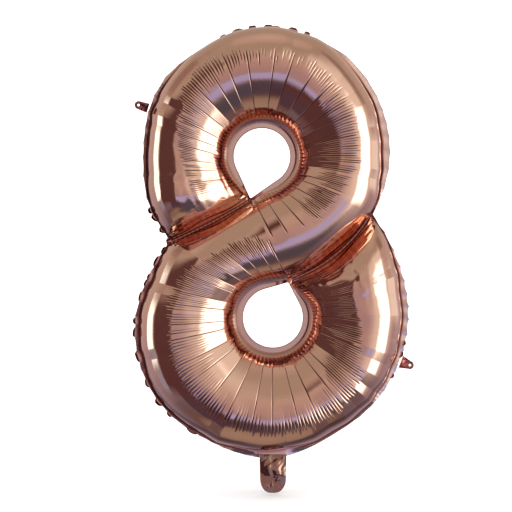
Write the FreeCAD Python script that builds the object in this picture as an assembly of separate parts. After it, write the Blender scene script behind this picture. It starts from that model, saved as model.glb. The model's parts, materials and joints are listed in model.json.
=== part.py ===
"""A foil number balloon in the shape of an 8, blown up, standing upright above its filling tail.

Two sheets of metallised film are heat-welded to each other round the outline, round both eyes and along
two waist lines, so the gas space is one long limb that runs in an S: it starts at the left waist weld,
goes over the top, crosses the middle as a diagonal, runs round the bottom and ends at the right waist weld.
Below the bottom hangs the filling tail with the two plies of the self-sealing valve inside it, and a
hanging tab stands out of the rim of each lobe.

Frame: X to the right, Z up, Y to the back. The sheets meet in the plane Y = 0, and the origin is at the
lowest point of the rim, where the tail is tied. Millimetres.
"""

import FreeCAD, Part
import math
import os

V = FreeCAD.Vector

# ---- driving dimensions ------------------------------------------------------------------------------

# The plan, in the plane of the welds, as (x, z) from the lower eye's centre. Weld lines run through these.
LOWER_EYE = (0.0, 0.0)
UPPER_EYE = (-22.0, 324.0)
LEFT_NOTCH = (-203.0, 154.0)
RIGHT_NOTCH = (197.0, 207.0)
UPPER_CUSP = (-46.0, 236.0)
LOWER_CUSP = (32.0, 74.0)
LEFT_WAIST_SAG = -4.0
RIGHT_WAIST_SAG = 18.0
UPPER_R = 255.0       # of the outer weld line, about the upper eye
LOWER_R = 275.0       # and about the lower eye
UPPER_EYE_R = 59.5
LOWER_EYE_R = 63.0

# Where the outer weld lines leave those circles: bearing in degrees from +X towards +Z, and how far outwards.
UPPER_OUTLINE = [(205, -9), (180, -18), (150, -8), (120, -2), (80, 9), (40, 5), (0, 0)]
LOWER_OUTLINE = [(25, 0), (0, -4), (-30, -9), (-60, -12), (-90, 4), (-120, 4), (-150, 9), (-180, 0),
                 (-200, -14)]

WELD_OUT = 3.0        # from a weld line to the weld's free edge
WAIST_WELD_IN = 3.0   # from a weld line to the foot of the panels: at the waist
EYE_WELD_IN = 7.0     # the same round the eyes
RIM_WELD_IN = 10.0    # and round the outline
PLUMP = 0.44          # half depth of the limb, as a share of its width there
CROWN_SHIFT = 0.5     # how far the fullest place moves from the middle of the limb to the rim side
EDGE_LEAN = 0.1       # the skin's lean at its rim, from 0 for upright to 1 for the flattest
END_ROUND = 95.0      # the limb rises to full depth over this distance from a waist weld
FILM_WALL = 1.2       # wall of the panels
WELD_T = 1.0          # both sheets fused, across Y
RIM_DEPTH = 20.0      # deeper than any weld

TAIL_W = 54.0
NECK_L = 34.0         # from the root fold to the middle fold
MOUTH_L = 34.0        # from the middle fold to the open end
MOUTH_END_R = 18.0    # corners of the open end
PLY_T = 0.7           # each ply of the tail
SIDE_WELD_W = 5.0
FOLD_GAP = 0.3        # between two pieces that fold against each other

VALVE_CLEARANCE = 4.0    # from each edge of the valve to the tail's side weld
VALVE_IN = 130.0         # reach of the valve into the balloon, from the root fold
VALVE_OUT = 24.0         # reach of the valve into the neck, from the root fold

TAB_ROOT_W = 28.0
TAB_L = 29.0          # from its fold to the end
TAB_END_R = 9.0
TAB_TAPER = 23.0      # how far past the round end's widest place the sides run into it, in degrees
TAB_HOLE_R = 2.5
TAB_T = 1.0
LEFT_TAB_BEARING = 157.0    # about the upper eye
RIGHT_TAB_BEARING = -19.0   # about the lower eye

# ---- how finely the curves are drawn -----------------------------------------------------------------

PROFILE_POINTS = 11
END_STATIONS = 7
END_CROWD = 2.0       # over 1 crowds the stations towards the waist weld
ROUND_STATIONS = 17
WAIST_STATIONS = 7
OUTLINE_POINTS = 40
END_SHARE = 0.16      # of a lobe's turn, where the limb still rises from its waist weld
FAN_SHARE = 0.35      # of a lobe's turn, over which the ribs fan to meet the waist welds
NARROW_SHARE = 0.12   # of a lobe's turn, over which a weld narrows to the waist weld's width
BOTTOM_BEARINGS = (-110.0, -70.0)   # the rim's lowest point is between these
BOTTOM_STEPS = 400
HALVINGS = 50         # in the search for the rib that ends at a bearing
SAME_POINT = 1e-3

FAR = 1000.0          # beyond the whole balloon
PLATE_HALF = WELD_T / 2
TAIL_HALF_T = PLATE_HALF + PLY_T
VALVE_W = TAIL_W - 2 * (SIDE_WELD_W + VALVE_CLEARANCE)
ROOT_FOLD_Z = -(TAIL_HALF_T + FOLD_GAP)
MIDDLE_FOLD_Z = ROOT_FOLD_Z - NECK_L


# ---- the plan of the balloon, in the plane of the welds ----------------------------------------------

def polar(centre, bearing, radius):
    angle = math.radians(bearing)
    return (centre[0] + radius * math.cos(angle), centre[1] + radius * math.sin(angle))


def bearing_of(centre, point):
    return math.degrees(math.atan2(point[1] - centre[1], point[0] - centre[0]))


def apart(a, b):
    return math.hypot(b[0] - a[0], b[1] - a[1])


def towards(a, b, share):
    return (a[0] + (b[0] - a[0]) * share, a[1] + (b[1] - a[1]) * share)


def moved(point, direction, distance):
    return (point[0] + direction[0] * distance, point[1] + direction[1] * distance)


def left_of(a, b):
    """The unit direction to the left of the way from a to b."""
    length = apart(a, b)
    return (-(b[1] - a[1]) / length, (b[0] - a[0]) / length)


def spaced(first, last, count, crowd=1.0):
    """count + 1 numbers from first to last, crowded towards first where crowd is over 1."""
    return [first + (last - first) * (i / count) ** crowd for i in range(count + 1)]


def fade(x):
    """1 at 0, falling smoothly to 0 at 1 and beyond."""
    return (1 - x) ** 2 * (1 + 2 * x) if x < 1 else 0.0


def smooth_through(knots, x):
    """A smooth curve through (x, y) knots, whose x falls from each to the next."""
    i = 0
    while i < len(knots) - 2 and x < knots[i + 1][0]:
        i += 1
    slopes = []
    for j in (i, i + 1):
        before, after = knots[max(j - 1, 0)], knots[min(j + 1, len(knots) - 1)]
        slopes.append((after[1] - before[1]) / (after[0] - before[0]))
    (x0, y0), (x1, y1) = knots[i], knots[i + 1]
    span = x1 - x0
    t = (x - x0) / span
    return (y0 * (1 + 2 * t) * (1 - t) ** 2 + slopes[0] * span * t * (1 - t) ** 2
            + y1 * t * t * (3 - 2 * t) + slopes[1] * span * t * t * (t - 1))


class Lobe:
    """One half of the S: the limb from its own waist weld, clockwise round its eye, to the middle rib.

    A rib is the line across the limb from the eye's weld to the outer weld. Ribs are numbered by turn,
    from 0 at the lobe's own waist weld to 1 at the middle rib, which the two lobes share.
    """

    def __init__(self, eye, eye_r, cusp, notch, sag, rim_r, outline, far_notch, far_cusp, far_sag):
        self.eye, self.eye_r, self.cusp, self.notch, self.sag = eye, eye_r, cusp, notch, sag
        self.far_notch, self.far_cusp, self.far_sag = far_notch, far_cusp, far_sag
        self.cusp_bearing = bearing_of(eye, cusp) % 360
        notch_bearing = self.cusp_bearing - (self.cusp_bearing - bearing_of(eye, notch)) % 360
        far_notch_bearing = notch_bearing - (notch_bearing - bearing_of(eye, far_notch)) % 360
        far_cusp_bearing = notch_bearing - (notch_bearing - bearing_of(eye, far_cusp)) % 360
        inner = [(b - 360 * math.floor((b - far_notch_bearing) / 360), rim_r + out) for b, out in outline]
        self.knots = ([(notch_bearing, apart(eye, notch))] + sorted(inner, reverse=True)
                      + [(far_notch_bearing, apart(eye, far_notch))])
        self.lead = self.cusp_bearing - notch_bearing
        self.far_lead = self.cusp_bearing - 360 - far_cusp_bearing
        self.drop_half_angle = math.degrees(math.acos(eye_r / apart(eye, cusp)))
        self.corner = self.turn_at(far_notch_bearing)

    def rim_bearing(self, turn):
        inner_bearing = self.cusp_bearing - 360 * turn
        return (inner_bearing - self.lead * fade(turn / FAN_SHARE)
                - self.far_lead * fade((1 - turn) / FAN_SHARE))

    def turn_at(self, bearing):
        low, high = 0.0, 1.0
        for _ in range(HALVINGS):
            middle = (low + high) / 2
            if self.rim_bearing(middle) > bearing:
                low = middle
            else:
                high = middle
        return (low + high) / 2

    def eye_radius(self, bearing):
        """A drop: a circle, and the two lines that touch it from the cusp."""
        off = abs((bearing - self.cusp_bearing + 180) % 360 - 180)
        if off < self.drop_half_angle:
            return self.eye_r / math.cos(math.radians(self.drop_half_angle - off))
        return self.eye_r

    def eye_point(self, bearing, outwards=0.0):
        """A point of the eye's weld line, or one that lies outwards of it."""
        point = polar(self.eye, bearing, self.eye_radius(bearing))
        return polar(point, bearing, outwards)

    def rim_point(self, bearing, outwards=0.0):
        return polar(self.eye, bearing, smooth_through(self.knots, bearing) + outwards)

    def rib_ends(self, turn):
        inner = self.eye_point(self.cusp_bearing - 360 * turn)
        if turn <= self.corner:
            return inner, self.rim_point(self.rim_bearing(turn))
        along = (turn - self.corner) / (1 - self.corner)
        return inner, waist_point(self.far_notch, self.far_cusp, self.far_sag, along)

    def from_own_waist(self, point):
        """How far into the limb a point is from the lobe's own curved waist weld."""
        length = apart(self.notch, self.cusp)
        side, way = left_of(self.notch, self.cusp), moved((0, 0), self.cusp, 1 / length)
        way = moved(way, self.notch, -1 / length)
        dx, dz = point[0] - self.notch[0], point[1] - self.notch[1]
        along = (dx * way[0] + dz * way[1]) / length
        return dx * side[0] + dz * side[1] - self.sag * 4 * along * (1 - along)

    def foot_widths(self, turn):
        """How far the panels' feet stand in from the weld lines at the two ends of a rib."""
        near_waist = fade(turn / NARROW_SHARE) + fade((1 - turn) / NARROW_SHARE)
        at_eye = EYE_WELD_IN + (WAIST_WELD_IN - EYE_WELD_IN) * near_waist
        if turn > self.corner:
            return at_eye, WAIST_WELD_IN
        near_notch = fade(turn / NARROW_SHARE) + fade((self.corner - turn) / NARROW_SHARE)
        return at_eye, RIM_WELD_IN + (WAIST_WELD_IN - RIM_WELD_IN) * near_notch

    def rib(self, turn, inset, edge):
        """Points (x, y, z) of the front skin on one rib, from the eye side to the rim side.

        inset moves the skin in from the weld's own edge, and edge is how far in front of the weld the
        skin starts there.
        """
        inner, outer = self.rib_ends(turn)
        width = apart(inner, outer)
        at_eye, at_rim = self.foot_widths(turn)
        first, last = (at_eye + inset) / width, 1 - (at_rim + inset) / width
        side = left_of(outer, inner)
        off_weld = (WAIST_WELD_IN + inset) * fade(turn / END_SHARE)
        bow = self.sag * fade(turn / END_SHARE)
        skew = CROWN_SHIFT * (1 - fade((1 - turn) / FAN_SHARE))
        full = PLUMP * (width - at_eye - at_rim) - (FILM_WALL - edge)
        points = []
        for i in range(PROFILE_POINTS):
            angle = math.pi * i / (PROFILE_POINTS - 1)
            across = (1 - EDGE_LEAN) * (1 - math.cos(angle)) / 2 + EDGE_LEAN * angle / math.pi
            share = first + (last - first) * across
            x, z = towards(inner, outer, share)
            x, z = moved((x, z), side, off_weld + bow * 4 * share * (1 - share))
            from_end = max(self.from_own_waist((x, z)) - WAIST_WELD_IN - inset, 0) / END_ROUND
            near_end = turn < 0.5 and from_end < 1
            rise = math.sqrt(1 - (1 - from_end) ** 2) if near_end else 1.0
            rise = 0.0 if turn == 0 else rise
            depth = edge + full * rise * math.sin(angle) * (1 + skew * (across - 0.5))
            points.append(V(x, -(PLATE_HALF + depth), z))
        return points


def waist_point(notch, cusp, sag, along):
    """A point of the curved weld line from a notch in the rim to the cusp of an eye."""
    side = left_of(notch, cusp)
    return moved(towards(notch, cusp, along), side, sag * 4 * along * (1 - along))


def lobes():
    upper = Lobe(UPPER_EYE, UPPER_EYE_R, UPPER_CUSP, LEFT_NOTCH, LEFT_WAIST_SAG, UPPER_R, UPPER_OUTLINE,
                 RIGHT_NOTCH, LOWER_CUSP, RIGHT_WAIST_SAG)
    lower = Lobe(LOWER_EYE, LOWER_EYE_R, LOWER_CUSP, RIGHT_NOTCH, RIGHT_WAIST_SAG, LOWER_R, LOWER_OUTLINE,
                 LEFT_NOTCH, UPPER_CUSP, LEFT_WAIST_SAG)
    return upper, lower


def eye_height():
    """How high the lower eye's centre is above the lowest point of the rim, which is the origin."""
    lower = lobes()[1]
    last = lower.knots[-1][0]
    bearings = [last + (b - last) % 360 for b in spaced(*BOTTOM_BEARINGS, BOTTOM_STEPS)]
    rim = [lower.rim_point(b, WELD_OUT) for b in bearings]
    return -min(point[1] for point in rim)


# ---- the gas space and the panels --------------------------------------------------------------------

def skin_strips(inset, edge):
    """The front skin of the whole S as three strips of ribs: the two lobes and the diagonal between them."""
    upper, lower = lobes()
    strips = {}
    for name, lobe in (("upper", upper), ("lower", lower)):
        turns = spaced(0, END_SHARE, END_STATIONS, END_CROWD)
        turns += spaced(END_SHARE, lobe.corner, ROUND_STATIONS)[1:]
        strips[name] = [lobe.rib(turn, inset, edge) for turn in turns]
    to_middle = [upper.rib(turn, inset, edge) for turn in spaced(upper.corner, 1, WAIST_STATIONS)]
    from_middle = [lower.rib(turn, inset, edge)[::-1] for turn in spaced(1, lower.corner, WAIST_STATIONS)]
    strips["diagonal"] = to_middle + from_middle[1:]
    return strips


def edge_between(shape, a, b):
    """The edge of a shape whose ends are those two points."""
    for line in shape.Edges:
        start, end = line.Vertexes[0].Point, line.Vertexes[-1].Point
        off = min((start - a).Length + (end - b).Length, (start - b).Length + (end - a).Length)
        if off < SAME_POINT:
            return line
    raise ValueError("no such edge")


def skin_and_walls(inset, edge):
    """The skin and the walls from its rim back to the welds, and the foot lines where the walls end.

    The foot lines are named by strip and side: first and last are the two ends of the ribs, and start is
    the first rib itself.
    """
    faces, feet = [], {}
    for name, ribs in skin_strips(inset, edge).items():
        wires = []
        for points in ribs:
            curve = Part.BSplineCurve()
            curve.interpolate(Points=points, Parameters=spaced(0, 1, len(points) - 1))
            wires.append(Part.Wire([curve.toShape()]))
        skin = Part.makeLoft(wires, False, False).Faces[0]
        faces.append(skin)
        sides = {"first": (ribs[0][0], ribs[-1][0]), "last": (ribs[0][-1], ribs[-1][-1])}
        if name != "diagonal":
            sides["start"] = (ribs[0][0], ribs[0][-1])
        for side, (a, b) in sides.items():
            line = edge_between(skin, a, b)
            faces.append(line.extrude(V(0, edge, 0)))
            feet[name, side] = line.translated(V(0, edge, 0))
    return faces, feet


def joined(lines):
    return Part.Wire(Part.__sortEdges__(lines))


def front_panel_and_feet():
    """The front panel, which is film round the gas space that stands on the welds, and its inner feet."""
    outside, outer_feet = skin_and_walls(0, FILM_WALL)
    inside, inner_feet = skin_and_walls(FILM_WALL, FILM_WALL / 2)
    rings = [joined(list(feet.values())) for feet in (outer_feet, inner_feet)]
    film = Part.Compound(outside + inside + [Part.makeFace(rings, "Part::FaceMakerBullseye")])
    film.sewShape()
    return Part.Solid(film.Shells[0]), {key: foot.copy() for key, foot in inner_feet.items()}


def mirrored_to_back(shape):
    return shape.mirror(V(0, 0, 0), V(0, 1, 0))


# ---- the welds ---------------------------------------------------------------------------------------

def at(point, y=-PLATE_HALF):
    return V(point[0], y, point[1])


def fused_film(*outlines):
    """Both sheets fused to a plate, from its outline and those of its holes, at the front of the plate."""
    face = Part.makeFace(list(outlines), "Part::FaceMakerBullseye")
    return face.extrude(V(0, WELD_T, 0))


def rim_edge(lobe, start, end):
    """The outer edge of a lobe's rim from one notch's tip to the other's."""
    bearings = spaced(lobe.knots[0][0], lobe.knots[-1][0], OUTLINE_POINTS)[1:-1]
    points = [at(start)] + [at(lobe.rim_point(b, WELD_OUT)) for b in bearings] + [at(end)]
    curve = Part.BSplineCurve()
    curve.interpolate(Points=points)
    return curve.toShape()


def drop_outline(lobe, radius):
    """The drop round a lobe's eye whose round part has that radius."""
    half = lobe.drop_half_angle
    tip = at(polar(lobe.eye, lobe.cusp_bearing, radius / math.cos(math.radians(half))))
    touch = [at(polar(lobe.eye, lobe.cusp_bearing + turn, radius)) for turn in (half, 180, -half)]
    return Part.Wire([Part.makeLine(tip, touch[0]), Part.Arc(*touch).toShape(), Part.makeLine(touch[2], tip)])


def start_and_end(line, a_point):
    """The ends of a line, the one nearer to a point first."""
    ends = sorted((line.Vertexes[0].Point, line.Vertexes[-1].Point), key=lambda end: (end - a_point).Length)
    return ends[0], ends[1]


def split_at(line, point):
    """A line's two stretches, on either side of the place on it that is nearest to a point."""
    curve, (low, high) = line.Curve, line.ParameterRange
    middle = curve.parameter(point)
    return curve.toShape(low, middle), curve.toShape(middle, high)


def nearest(lines, point):
    return min(lines, key=lambda line: line.distToShape(Part.Vertex(point))[0])


def welds(feet):
    """The six welds. They meet edge to edge, and each reaches in under the panels' feet."""
    upper, lower = lobes()
    tips = {}
    for side, notch in (("left", LEFT_NOTCH), ("right", RIGHT_NOTCH)):
        own = [polar(notch, bearing_of(lobe.eye, notch), WELD_OUT) for lobe in (upper, lower)]
        tips[side] = towards(own[0], own[1], 0.5)
    pieces = {}
    waists = (("left", upper, "upper", "first", LEFT_NOTCH), ("right", lower, "lower", "last", RIGHT_NOTCH))
    rim_ends = {}
    for side, lobe, name, diagonal_side, notch in waists:
        own_line = feet[name, "start"]
        own_notch, own_cusp = start_and_end(own_line, at(notch))
        halves = split_at(feet["diagonal", diagonal_side], at(lobe.cusp))
        waist_line = nearest(halves, at(notch))
        eye_line = halves[0] if waist_line is halves[1] else halves[1]
        far_notch, far_cusp = start_and_end(waist_line, at(notch))
        across_cusp = Part.makeLine(own_cusp, far_cusp)
        middle = (own_notch + far_notch) * 0.5
        pieces[f"{side}_waist_weld"] = fused_film(joined([
            own_line, waist_line, across_cusp,
            Part.makeLine(own_notch, middle), Part.makeLine(middle, far_notch)]))
        pieces[f"{name}_eye_weld"] = fused_film(
            joined([feet[name, "first"], eye_line, across_cusp]),
            drop_outline(lobe, lobe.eye_r - WELD_OUT))
        rim_ends[side] = (middle, own_notch, far_notch)
    for name, lobe in (("upper", upper), ("lower", lower)):
        start, end = ("left", "right") if name == "upper" else ("right", "left")
        rim_foot = feet[name, "last"]
        lines = [rim_edge(lobe, tips[start], tips[end]), rim_foot]
        for side in (start, end):
            middle = rim_ends[side][0]
            foot_end = start_and_end(rim_foot, middle)[0]
            lines += [Part.makeLine(at(tips[side]), middle), Part.makeLine(middle, foot_end)]
        pieces[f"{name}_outline_weld"] = fused_film(joined(lines))
    return pieces


def valve_slot():
    """The gap between the two ends of the lower outline's weld, which the valve runs through."""
    return box_between(-VALVE_W / 2, VALVE_W / 2, -PLATE_HALF, PLATE_HALF, -RIM_DEPTH, RIM_DEPTH)


def box_between(x0, x1, y0, y1, z0, z1):
    return Part.makeBox(x1 - x0, y1 - y0, z1 - z0, V(x0, y0, z0))


# ---- the filling tail and its valve ------------------------------------------------------------------

def rounded_about(z, shape, lowest, half_t):
    """The part of a shape below the X-wise line at height z, and inside a half round of half_t there."""
    below = box_between(-FAR, FAR, -half_t, half_t, lowest, z)
    half_round = Part.makeCylinder(half_t, 2 * FAR, V(-FAR, 0, z), V(1, 0, 0))
    return shape.common(below.fuse(half_round))


def tail_length(bars, top_fold, bottom):
    """The layers of one stretch of the tail, cut from bars that are too high and rounded about its top fold."""
    return {name: rounded_about(top_fold, bar, bottom, TAIL_HALF_T) for name, bar in bars.items()}


def neck():
    """The upper stretch of the tail, between its two folds, with the valve's mouth inside it."""
    low_end = MIDDLE_FOLD_Z + TAIL_HALF_T + FOLD_GAP
    half = TAIL_W / 2
    top = ROOT_FOLD_Z + 2 * TAIL_HALF_T
    inner = half - SIDE_WELD_W
    sides = [box_between(-half, -inner, -PLATE_HALF, PLATE_HALF, low_end, top),
             box_between(inner, half, -PLATE_HALF, PLATE_HALF, low_end, top)]
    mouth_low = ROOT_FOLD_Z - VALVE_OUT
    mouth_half = VALVE_W / 2
    bars = {
        "neck_front_ply": box_between(-half, half, -TAIL_HALF_T, -PLATE_HALF, low_end, top),
        "neck_back_ply": box_between(-half, half, PLATE_HALF, TAIL_HALF_T, low_end, top),
        "neck_side_welds": Part.Compound(sides),
        "valve_mouth_front": box_between(-mouth_half, mouth_half, -PLATE_HALF, 0, mouth_low, top),
        "valve_mouth_back": box_between(-mouth_half, mouth_half, 0, PLATE_HALF, mouth_low, top),
    }
    return tail_length(bars, ROOT_FOLD_Z, low_end)


def mouth():
    """The lowest stretch of the tail, with a U-shaped end that is open between its side welds."""
    half, top = TAIL_W / 2, MIDDLE_FOLD_Z + 2 * TAIL_HALF_T
    low = MIDDLE_FOLD_Z - MOUTH_L
    inner = half - SIDE_WELD_W
    bars = {
        "mouth_front_ply": box_between(-half, half, -TAIL_HALF_T, -PLATE_HALF, low, top),
        "mouth_back_ply": box_between(-half, half, PLATE_HALF, TAIL_HALF_T, low, top),
        "mouth_side_welds": Part.Compound([
            box_between(-half, -inner, -PLATE_HALF, PLATE_HALF, low, top),
            box_between(inner, half, -PLATE_HALF, PLATE_HALF, low, top)]),
    }
    straight = box_between(-half, half, -FAR, FAR, low + MOUTH_END_R, top)
    middle = box_between(-half + MOUTH_END_R, half - MOUTH_END_R, -FAR, FAR, low, top)
    corners = [Part.makeCylinder(MOUTH_END_R, 2 * FAR, V(x, -FAR, low + MOUTH_END_R), V(0, 1, 0))
               for x in (-half + MOUTH_END_R, half - MOUTH_END_R)]
    outline = straight.fuse([middle] + corners)
    made = tail_length(bars, MIDDLE_FOLD_Z, low)
    return {name: shape.common(outline) for name, shape in made.items()}


def valve_sleeve():
    """The two plies of the valve above the root fold, up into the gas space."""
    top = ROOT_FOLD_Z + VALVE_IN
    bottom = ROOT_FOLD_Z + TAIL_HALF_T + FOLD_GAP
    half = VALVE_W / 2
    return {
        "valve_sleeve_front": box_between(-half, half, -PLATE_HALF, 0, bottom, top),
        "valve_sleeve_back": box_between(-half, half, 0, PLATE_HALF, bottom, top),
    }


# ---- the hanging tabs --------------------------------------------------------------------------------

def tab_fold(lobe, bearing):
    """Where a tab folds: a point just outside the rim, the way out of the rim, and the fold's own way."""
    step = 1.0
    root = lobe.rim_point(bearing)
    before, after = lobe.rim_point(bearing + step), lobe.rim_point(bearing - step)
    out = left_of(before, after)
    fold = moved(root, out, WELD_OUT + FOLD_GAP + TAB_T / 2)
    return fold, out, (out[1], -out[0])


def tab(lobe, bearing):
    """A flat tab that tapers from its fold to a round end with a hole at the round end's centre."""
    fold, out, along = tab_fold(lobe, bearing)
    end = moved(fold, out, TAB_L - TAB_END_R)
    corners = [moved(fold, along, -TAB_ROOT_W / 2), moved(fold, along, TAB_ROOT_W / 2)]
    taper = math.radians(TAB_TAPER)
    touch = [moved(moved(end, along, side * TAB_END_R * math.cos(taper)), out, TAB_END_R * math.sin(taper))
             for side in (1, -1)]
    tip = moved(end, out, TAB_END_R)
    front = -TAB_T / 2
    arc = Part.Arc(at(touch[0], front), at(tip, front), at(touch[1], front)).toShape()
    sides = [Part.makeLine(at(corners[1], front), at(touch[0], front)), arc,
             Part.makeLine(at(touch[1], front), at(corners[0], front)),
             Part.makeLine(at(corners[0], front), at(corners[1], front))]
    body = Part.Face(Part.Wire(sides)).extrude(V(0, TAB_T, 0))
    root_round = Part.makeCylinder(TAB_T / 2, TAB_ROOT_W, at(corners[0], 0), at(along, 0))
    hole = Part.makeCylinder(TAB_HOLE_R, 2 * TAB_T, at(end, -TAB_T), V(0, 1, 0))
    return body.fuse(root_round).cut(hole)


# ---- everything --------------------------------------------------------------------------------------

def build():
    upper, lower = lobes()
    front, feet = front_panel_and_feet()
    figure = {"front_panel": front, "back_panel": mirrored_to_back(front)}
    figure.update(welds(feet))
    figure["left_hanging_tab"] = tab(upper, LEFT_TAB_BEARING)
    figure["right_hanging_tab"] = tab(lower, RIGHT_TAB_BEARING)
    rise = V(0, 0, eye_height())
    parts = {name: shape.translated(rise) for name, shape in figure.items()}
    parts["lower_outline_weld"] = parts["lower_outline_weld"].cut(valve_slot())
    parts.update(valve_sleeve())
    parts.update(neck())
    parts.update(mouth())
    return parts


os.makedirs("parts", exist_ok=True)
for node, shape in build().items():
    shape.exportStep(f"parts/{node}.step")
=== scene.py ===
"""A rose-gold foil number balloon in the shape of an 8, pleated, seamed and lit in a plain studio.

The file is laid out as a Blender add-on and is run as a script. Metres; X right, Y back, Z up. Points of the
balloon's plan, in the plane of its seams, are complex numbers: x + z * 1j.
"""

import json
import math

import bpy
import numpy as np
from bpy.props import FloatProperty, FloatVectorProperty, IntProperty, PointerProperty
from bpy.types import Operator, Panel, PropertyGroup
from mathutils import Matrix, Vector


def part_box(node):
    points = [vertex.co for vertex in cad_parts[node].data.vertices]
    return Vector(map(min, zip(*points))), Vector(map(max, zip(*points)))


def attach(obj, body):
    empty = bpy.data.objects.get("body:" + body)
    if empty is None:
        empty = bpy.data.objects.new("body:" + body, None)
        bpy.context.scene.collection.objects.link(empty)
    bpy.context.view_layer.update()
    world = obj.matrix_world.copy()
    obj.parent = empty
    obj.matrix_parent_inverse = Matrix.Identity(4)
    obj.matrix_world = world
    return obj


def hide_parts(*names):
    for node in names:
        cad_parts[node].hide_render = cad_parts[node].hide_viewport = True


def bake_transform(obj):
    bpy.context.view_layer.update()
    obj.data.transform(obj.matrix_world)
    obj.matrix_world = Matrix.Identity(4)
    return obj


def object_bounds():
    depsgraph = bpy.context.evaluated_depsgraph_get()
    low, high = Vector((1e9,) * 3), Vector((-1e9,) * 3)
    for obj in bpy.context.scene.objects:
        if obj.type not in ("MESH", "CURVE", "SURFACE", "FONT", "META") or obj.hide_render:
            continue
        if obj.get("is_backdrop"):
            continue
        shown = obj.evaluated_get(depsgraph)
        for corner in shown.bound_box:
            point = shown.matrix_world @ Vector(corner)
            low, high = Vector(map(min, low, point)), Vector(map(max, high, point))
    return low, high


bl_info = {
    "name": "Foil Number Balloon",
    "version": (1, 0, 0),
    "blender": (4, 5, 0),
    "location": "3D View > Sidebar > Balloon",
    "description": "Makes the pleated foil, seams, tail and tabs of a number balloon round its packed model",
    "category": "Object",
}

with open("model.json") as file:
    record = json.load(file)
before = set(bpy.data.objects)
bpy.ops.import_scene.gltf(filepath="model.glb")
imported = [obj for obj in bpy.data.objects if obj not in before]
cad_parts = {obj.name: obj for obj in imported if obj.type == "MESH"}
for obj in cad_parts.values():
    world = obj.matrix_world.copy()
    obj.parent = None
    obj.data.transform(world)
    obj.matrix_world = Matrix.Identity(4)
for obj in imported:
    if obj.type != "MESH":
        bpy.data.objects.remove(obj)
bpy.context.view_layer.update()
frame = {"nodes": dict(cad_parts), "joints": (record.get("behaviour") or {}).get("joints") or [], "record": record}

MM = 0.001

# ---- the plan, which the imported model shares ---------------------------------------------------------


def named(rows, name):
    """The one with that name, among joints, mounts or openings."""
    return next(row for row in rows if row["name"] == name)


def opening_centre(name):
    """The middle of one of the record's openings, in the plan."""
    low, high = named(frame["record"]["physics"]["openings"], name)["box_m"]
    return (low[0] + high[0]) / 2 + (low[2] + high[2]) / 2 * 1j


UPPER_EYE = opening_centre("upper_eye")
LOWER_EYE = opening_centre("lower_eye")
LEFT_NOTCH = LOWER_EYE + (-203 + 154j) * MM
RIGHT_NOTCH = LOWER_EYE + (197 + 207j) * MM
UPPER_CUSP = LOWER_EYE + (-46 + 236j) * MM
LOWER_CUSP = LOWER_EYE + (32 + 74j) * MM
# A waist seam's line: its notch in the outline, the point of an eye, and how far its middle sags.
LEFT_WAIST = (LEFT_NOTCH, UPPER_CUSP, -4 * MM)
RIGHT_WAIST = (RIGHT_NOTCH, LOWER_CUSP, 18 * MM)
UPPER_R, LOWER_R = 255 * MM, 275 * MM
UPPER_EYE_R, LOWER_EYE_R = 59.5 * MM, 63 * MM

# Where the rim leaves those circles: bearing in degrees from +X towards +Z, and millimetres outwards.
UPPER_OUTLINE = [(205, -9), (180, -18), (150, -8), (120, -2), (80, 9), (40, 5), (0, 0)]
LOWER_OUTLINE = [(25, 0), (0, -4), (-30, -9), (-60, -12), (-90, 4), (-120, 4), (-150, 9), (-180, 0),
                 (-200, -14)]

WELD_OUT = 3 * MM            # from a weld line to the weld's free edge
WAIST_WELD_IN = 1.3 * MM     # from a weld line to the foot of the bulge: at the waist
EYE_WELD_IN = 7 * MM         # and round the eyes
PLUMP = 0.44                 # half depth of the limb, as a share of its width there
CROWN_SHIFT = 0.5            # how far the fullest place moves from the middle of the limb to the rim side
EDGE_LEAN = 0.1              # the skin's lean at its rim, from 0 for upright to 1 for the flattest
END_ROUND = 95 * MM          # the limb rises to full depth over this distance from a waist seam
SKIN_FOOT_Y = 0.5 * MM       # from the seams' plane to the skin's foot
TAIL_HALF_W = 27 * MM        # half the width of the filling tail at the rim
# As shares of a turn from a lobe's end: where the skin follows the waist seam, where the ribs fan out, and
# where the flat welds narrow.
END_SHARE, FAN_SHARE, NARROW_SHARE = 0.16, 0.35, 0.12

# The tables below go by turn round a lobe, from 0 at its own waist seam to 1 at the middle rib.

# How far in from the rim's weld line the bulge starts, in millimetres.
RIM_IN = {
    "upper": [(0, 6), (0.12, 6), (0.27, 8), (0.38, 5), (0.52, 4), (0.6, 9), (0.66, 15), (0.78, 15), (0.9, 8),
              (1, 7)],
    "lower": [(0, 7), (0.12, 12), (0.22, 11), (0.3, 6), (0.37, 6), (0.42, 12), (0.455, 12), (0.5, 6),
              (0.6, 7), (0.7, 10), (0.85, 8), (1, 7)],
}
RIM_CORNER_EVERY = 0.021     # of a turn, between the corners of the bulge's foot
RIM_CORNER_SCATTER = 0.3     # how far each may move, as a share of that
RIM_CORNER_OUT = 2.2 * MM    # how far those corners stand off its smooth line

# How far the rim's free edge leans to the front, or where negative to the back, in millimetres.
RIM_LEAN = {
    "upper": [(0, -1), (0.15, -2), (0.3, -3), (0.38, -9), (0.52, -9), (0.58, -3), (0.64, -2), (0.85, -2),
              (1, -1)],
    "lower": [(0, -1), (0.18, -1), (0.28, -3), (0.36, -5), (0.44, -4), (0.52, -5), (0.6, -2), (0.7, -2),
              (1, -1)],
}
# How far it waves, in millimetres.
RIM_WAVE = {
    "upper": [(0, 1.6), (0.15, 0.8), (0.3, 1), (0.36, 0.4), (0.54, 0.4), (0.62, 0.7), (0.8, 0.8), (1, 1.4)],
    "lower": [(0, 1.6), (0.12, 1.5), (0.25, 1.2), (0.33, 0.3), (0.47, 0.3), (0.58, 1), (0.8, 1.4), (1, 1.6)],
}
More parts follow.
